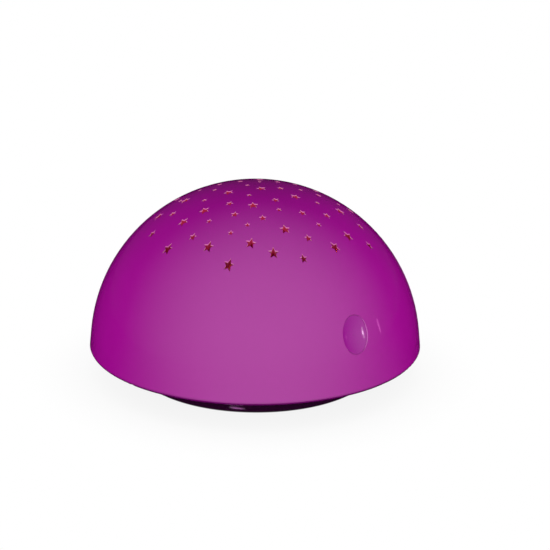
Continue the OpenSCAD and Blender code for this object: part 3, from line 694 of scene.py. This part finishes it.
# Housing screws
# Three zinc plated self-tapping screws go up through the base's flange into the dome's bosses.
# Their threads start where their heads end, as on the other upright screws below.
def dress_screws(name, direction, head, pitch):
    """Upright screws with heads head metres high, and threads from there along direction."""
    low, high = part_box(name)
    outer_end = low.z if direction == UP else -high.z
    finish = threaded(direction, outer_end + head, pitch)
    dress(shade(name.rstrip("s") + "_zinc", finish), name)


dress_screws("housing_screws", UP, head=0.002, pitch=0.0012)


# Battery door
# A flat door of the foot's plastic. Its captive screw is zinc plated and turns in a brass insert
# with a knurled outside.
BRASS = (0.74, 0.5, 0.18)
BRASS_DULL = (0.5, 0.32, 0.1)
KNURLS = 28


def knurled_brass(shader):
    low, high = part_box("screw_insert")
    spot = shader.place((low + high) / 2)
    x, y = shader.axis(spot, 0), shader.axis(spot, 1)
    angle = x.math("ARCTAN2", y, x)
    ridges = abs((angle * (KNURLS / math.tau)) % 1 * 2 - 1)
    cloud = shader.noise(0.001, detail=3)
    return {
        "Base Color": shader.blend(cloud, BRASS, BRASS_DULL),
        "Metallic": 1,
        "Roughness": 0.2 + 0.2 * cloud,
        "Normal": shader.bump(ridges, 0.0002),
    }


dress(plum_finish, "battery_door")
dress_screws("door_screw", UP, head=0.002, pitch=0.0007)
dress(shade("brass_knurled", knurled_brass), "screw_insert")


# Battery cells
# Three AA cells side by side, the middle one the other way round. Each steel can wears a plain dark
# sleeve with a pale band at its positive end.
CELL_ROW = 0.0076
SLEEVE_ENDS = (-0.0247, 0.0233)
BAND_ENDS = (0.0125, 0.0205)
SLEEVE = (0.011, 0.02, 0.036)
SLEEVE_SHADE = (0.008, 0.014, 0.026)
BAND = (0.46, 0.47, 0.48)
CAN = (0.62, 0.62, 0.61)


def cell_finish(shader):
    spot = shader.place()
    outer_row = abs(shader.axis(spot, 1)) > CELL_ROW
    toward_plus = shader.axis(spot, 0) * (2 * outer_row - 1)
    sleeve = toward_plus.within(*SLEEVE_ENDS)
    cloud = shader.noise(0.004, detail=3)
    plain = shader.blend(cloud, SLEEVE, SLEEVE_SHADE)
    banded = shader.blend(toward_plus.within(*BAND_ENDS), plain, BAND)
    return {
        "Base Color": shader.blend(sleeve, CAN, banded),
        "Metallic": 1 - sleeve,
        "Roughness": 0.24 + 0.14 * cloud,
        "Normal": shader.bump(sleeve + 0.1 * cloud, 0.00006),
    }


dress(shade("cell_sleeve", cell_finish), "battery_cells")


# Battery contacts
# Springs wound from nickel plated wire and plates pressed from nickel plated strip, which join the
# cells in a row.
NICKEL = (0.68, 0.66, 0.62)
NICKEL_DULL = (0.5, 0.48, 0.44)
ROLLED = (1, 0.08, 1)
wire_nickel = plated(NICKEL, NICKEL_DULL, roughness=0.16, blotch=0.001)
strip_nickel = plated(NICKEL, NICKEL_DULL, roughness=0.2, blotch=0.0012, stretch=ROLLED)
dress(shade("spring_nickel", wire_nickel), "battery_springs")
dress(shade("plate_nickel", strip_nickel), "battery_plates")


# Main board
# Green board on the compartment's four stand-offs, with two joints under each header, held by four
# screws whose heads sit on tinned rings.
HEADER_SPOTS = ((0.017, -0.004), (0.006, -0.008), (0, 0.002))
HEADER_LEAD = 0.00125
header_leads = [(x + side * HEADER_LEAD, y) for x, y in HEADER_SPOTS for side in (-1, 1)]
main_pads = pads(header_leads, inner=NO_HOLE, outer=0.0008)
main_pads += pads(four_corners(0.0205, 0.0145), inner=SCREW_HOLE, outer=0.0028)
main_mask = circuit_board(MASK_GREEN, TRACK_GREEN, main_pads)
dress(shade("main_board_green", main_mask), "main_board")
dress_screws("board_screws", DOWN, head=0.0015, pitch=0.0008)


# Control chip
# Black epoxy with a dot at its first lead and two rows of tinned leads, soldered flat to the main
# board. The dot's place is measured from the chip's lowest corner.
CHIP_LEADS = 0.00193
CHIP_DOT = (0.0009, 0.0015)
CHIP_DOT_EDGE = (0.0004, 0.0003)
CHIP_DOT_GREY = (0.06, 0.06, 0.062)


def chip_epoxy(shader):
    low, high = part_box("control_chip")
    spot = shader.place((low + high) / 2)
    lead = abs(shader.axis(spot, 1)) > CHIP_LEADS
    corner = Vector((low.x + CHIP_DOT[0], low.y + CHIP_DOT[1], high.z))
    dot = shader.step(shader.length(shader.place(corner)), *CHIP_DOT_EDGE)
    cloud = shader.noise(0.0008, detail=4)
    epoxy = shader.blend(dot, shader.blend(cloud, BLACK, BLACK_WORN), CHIP_DOT_GREY)
    return {
        "Base Color": shader.blend(lead, epoxy, TIN),
        "Metallic": lead,
        "Roughness": 0.5 - 0.2 * lead + 0.12 * cloud,
        "Normal": shader.bump(cloud - dot, 0.00001),
    }


dress(shade("chip_epoxy", chip_epoxy), "control_chip")


# Capacitor
# Aluminium can on a black base, with the black mark of its negative side on top. It stands on the
# main board, and its heights are measured from there.
CAN_BASE = 0.0011
CAN_TOP = 0.0039
CAN_MARK = -0.0012
ALUMINIUM = (0.7, 0.71, 0.73)
ALUMINIUM_DULL = (0.56, 0.57, 0.6)


def capacitor_can(shader):
    low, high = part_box("capacitor")
    spot = shader.place(((low.x + high.x) / 2, (low.y + high.y) / 2, low.z))
    height = shader.axis(spot, 2)
    mark = (height > CAN_TOP) * (shader.axis(spot, 0) < CAN_MARK)
    metal = (height > CAN_BASE) * (1 - mark)
    cloud = shader.noise(0.0012, detail=3, stretch=(1, 1, 0.2))
    return {
        "Base Color": shader.blend(metal, BLACK, shader.blend(cloud, ALUMINIUM, ALUMINIUM_DULL)),
        "Metallic": metal,
        "Roughness": 0.45 - 0.2 * metal + 0.12 * cloud,
        "Normal": shader.bump(cloud, 0.000004),
    }


dress(shade("capacitor_can", capacitor_can), "capacitor")


# Wire headers
# Three open sockets moulded in ivory nylon and soldered to the main board, one for each pair of
# leads.
dress(shade("header_nylon", moulded(IVORY, IVORY_SHADE, roughness=0.4)), "wire_headers")


# Light deck
# A round deck of satin white plastic, which throws the light up. Three screws hold it to posts on
# the base.
WHITE = (0.78, 0.78, 0.76)
WHITE_SHADE = (0.71, 0.71, 0.685)
satin = moulded(WHITE, WHITE_SHADE, roughness=0.38, blotch=0.015, grain=0.0004)
dress(shade("deck_white", satin), "light_deck")
dress_screws("deck_screws", DOWN, head=0.0015, pitch=0.0008)


# LED board
# A round board with a white solder mask over its tracks, on two bosses of the deck. Two screws hold
# it, and each LED has two joints on it.
MASK_WHITE = (0.74, 0.75, 0.73)
TRACK_WHITE = (0.66, 0.67, 0.64)
LED_TURN = 30
LED_RING = 0.0046
LED_LEAD = 0.00127


def led_spot(number, shift=0):
    """Where an LED stands on its board, or a lead that is shift to the side of its middle."""
    turn = math.radians(LED_TURN + 120 * number)
    x = LED_RING * math.cos(turn) - shift * math.sin(turn)
    y = LED_RING * math.sin(turn) + shift * math.cos(turn)
    return x, y


led_leads = [led_spot(number, side * LED_LEAD) for number in range(3) for side in (-1, 1)]
led_pads = pads(led_leads, inner=NO_HOLE, outer=0.0008)
led_pads += pads([(-0.0098, 0), (0.0098, 0)], inner=SCREW_HOLE, outer=0.0027)
dress(shade("led_board_white", circuit_board(MASK_WHITE, TRACK_WHITE, led_pads)), "led_board")
dress_screws("led_board_screws", DOWN, head=0.0015, pitch=0.0008)


# LEDs
# Three 5 mm lamps of tinted epoxy with a domed end, each over its own die and cup. The red one is
# lit, and its light fills the dome.
CUP_RISE = 0.002
CUP_EDGE = (0.0036, 0.0016)
LED_GLOW = 0.6
LED_RED = (1, 0.06, 0.02)
LED_ENERGY = 0.02
LED_LIGHT_RADIUS = 0.0015
LED_LIGHT_GAP = 0.004


def darker(colour, share):
    return tuple(share * part for part in colour)


def tinted_epoxy(name, number, colour, deep, glow=None):
    """Clear tinted lens, deeper round the die's cup. glow is its light, from the cup up."""
    low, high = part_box(name)
    x, y = led_spot(number)

    def build(shader):
        from_cup = shader.length(shader.place((x, y, low.z + CUP_RISE)))
        cup = shader.step(from_cup, *CUP_EDGE)
        cloud = shader.noise(0.002, detail=2)
        lens = shader.blend(cloud, colour, darker(colour, 0.85))
        values = {
            "Base Color": shader.blend(cup, lens, deep),
            "Roughness": 0.06 + 0.06 * cloud,
            "Coat Weight": 0.6,
            "Normal": shader.bump(cloud, 0.00001),
        }
        if glow:
            rise = shader.step(shader.axis(shader.place(), 2), low.z, high.z)
            values["Emission Color"] = shader.blend(rise, darker(glow, 0.25), glow)
            values["Emission Strength"] = LED_GLOW
        return values

    dress(shade(name + "_epoxy", build), name)


tinted_epoxy("red_led", 0, (0.6, 0.02, 0.012), (0.25, 0.006, 0.004), glow=(1, 0.05, 0.02))
tinted_epoxy("green_led", 1, (0.05, 0.42, 0.09), (0.015, 0.13, 0.03))
tinted_epoxy("blue_led", 2, (0.035, 0.09, 0.55), (0.01, 0.025, 0.17))

led_light = bpy.data.lights.new("led_light", "POINT")
led_light.color = LED_RED
led_light.energy = LED_ENERGY
led_light.shadow_soft_size = LED_LIGHT_RADIUS
led_lamp = put("led_light", led_light)
led_lamp.location = (*led_spot(0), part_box("red_led")[1].z + LED_LIGHT_GAP)


# Leads
# Stranded wire in PVC insulation, two leads to each header. One of each pair has its own colour, so
# that it can't be wired the wrong way round.
PVC_BLACK = (0.014, 0.014, 0.015)
PVC_RED = (0.5, 0.018, 0.014)
PVC_YELLOW = (0.62, 0.44, 0.03)
PVC_WHITE = (0.66, 0.65, 0.62)
PVC_GREY = (0.2, 0.21, 0.22)
PVC_GRIME = (0.012, 0.011, 0.011)
SWITCH_SPLIT = (0.8, 0.6, 0)


def insulation(first, second, split, at):
    """PVC in two colours: second where a point reaches past at in the direction split."""

    def build(shader):
        other = shader.along(shader.place(), split) > at
        cloud = shader.noise(0.002, detail=3)
        colour = shader.blend(other, first, second)
        return {
            "Base Color": shader.blend(0.25 * cloud, colour, PVC_GRIME),
            "Roughness": 0.34 + 0.16 * cloud,
            "Normal": shader.bump(shader.noise(0.0005), 0.000012),
        }

    return build


battery_pvc = insulation(PVC_BLACK, PVC_RED, ACROSS, at=0.017)
led_pvc = insulation(PVC_YELLOW, PVC_WHITE, ACROSS, at=0)
switch_pvc = insulation(PVC_BLACK, PVC_GREY, SWITCH_SPLIT, at=0.00015)
dress(shade("battery_pvc", battery_pvc), "battery_wires")
dress(shade("led_pvc", led_pvc), "led_wires")
dress(shade("switch_pvc", switch_pvc), "switch_wires")
